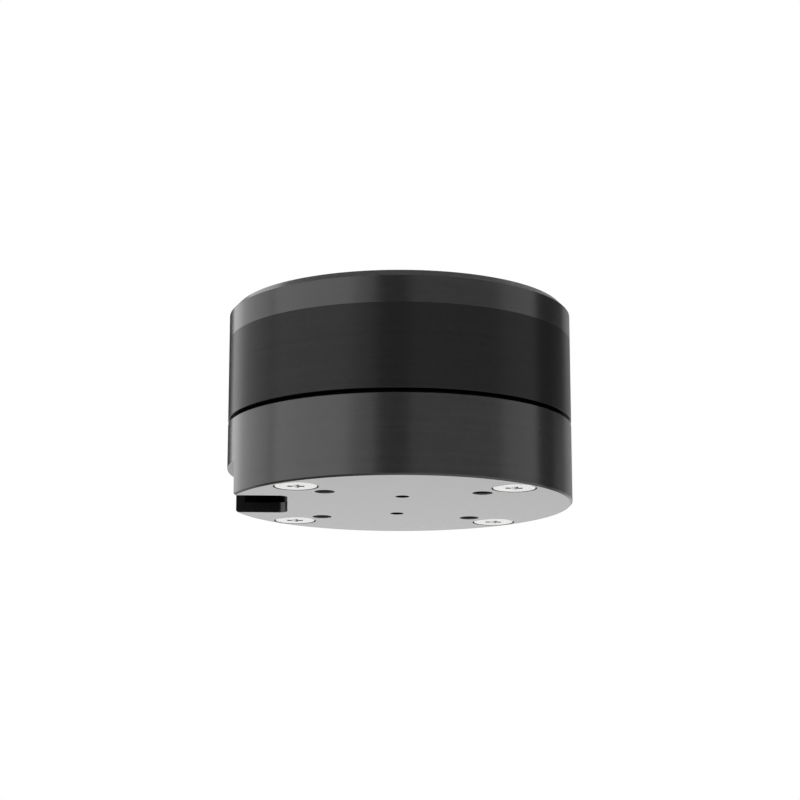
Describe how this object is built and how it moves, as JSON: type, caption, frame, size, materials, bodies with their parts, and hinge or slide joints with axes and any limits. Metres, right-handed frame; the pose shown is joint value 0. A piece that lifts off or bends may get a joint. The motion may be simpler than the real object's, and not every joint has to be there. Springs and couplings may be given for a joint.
{
  "type": "gimbal motor",
  "caption": "Flat round gimbal motor: a black can with a chamfered cap turns on a closed base that has a cable slot in its side and countersunk screws in its underside.",
  "frame": {"origin": "centre of the underside of the base housing, on the axis of rotation", "axes": "+Z along the axis of rotation towards the rotor cap, -X towards the cable slot"},
  "size_m": [0.04, 0.04, 0.0229],
  "materials": {
    "black_anodised_aluminium": "satin",
    "blackened_steel": "satin",
    "screw_steel": "satin",
    "circuit_board": "satin",
    "chip_plastic": "matte",
    "tinned_metal": "satin",
    "capacitor_body": "satin",
    "electrical_steel": "satin",
    "enamelled_copper": "gloss",
    "nickel_plated_magnet": "satin",
    "bearing_steel": "polished",
    "pressed_steel": "satin",
    "shaft_steel": "satin",
    "holder_brass": "satin"
  },
  "bodies": {
    "stator": {"base_housing": "black_anodised_aluminium", "stator_mount": "black_anodised_aluminium", "board_screws": "blackened_steel", "housing_screws": "screw_steel", "sensor_board": "circuit_board", "sensor_chip": "chip_plastic", "chip_leads": "tinned_metal", "lead_pads": "tinned_metal", "board_capacitors": "capacitor_body", "stator_core": "electrical_steel", "coils_phase_a": "enamelled_copper", "coils_phase_b": "enamelled_copper", "coils_phase_c": "enamelled_copper", "lower_bearing_outer_ring": "bearing_steel", "upper_bearing_outer_ring": "bearing_steel", "lower_bearing_shields": "pressed_steel", "upper_bearing_shields": "pressed_steel", "preload_spring": "pressed_steel"},
    "rotor": {"rotor_cap": "black_anodised_aluminium", "flux_ring": "blackened_steel", "rotor_magnets": "nickel_plated_magnet", "hollow_shaft": "shaft_steel", "lower_bearing_inner_ring": "bearing_steel", "upper_bearing_inner_ring": "bearing_steel", "bearing_spacer": "shaft_steel", "shim_washer": "pressed_steel", "retaining_clip": "pressed_steel", "magnet_holder": "holder_brass", "sensor_magnet": "nickel_plated_magnet"}
  },
  "joints": [
    {"name": "rotor_spin", "type": "hinge", "parent": "stator", "child": "rotor", "pos_m": [0, 0, 0], "axis": [0, 0, 1], "continuous": true}
  ]
}
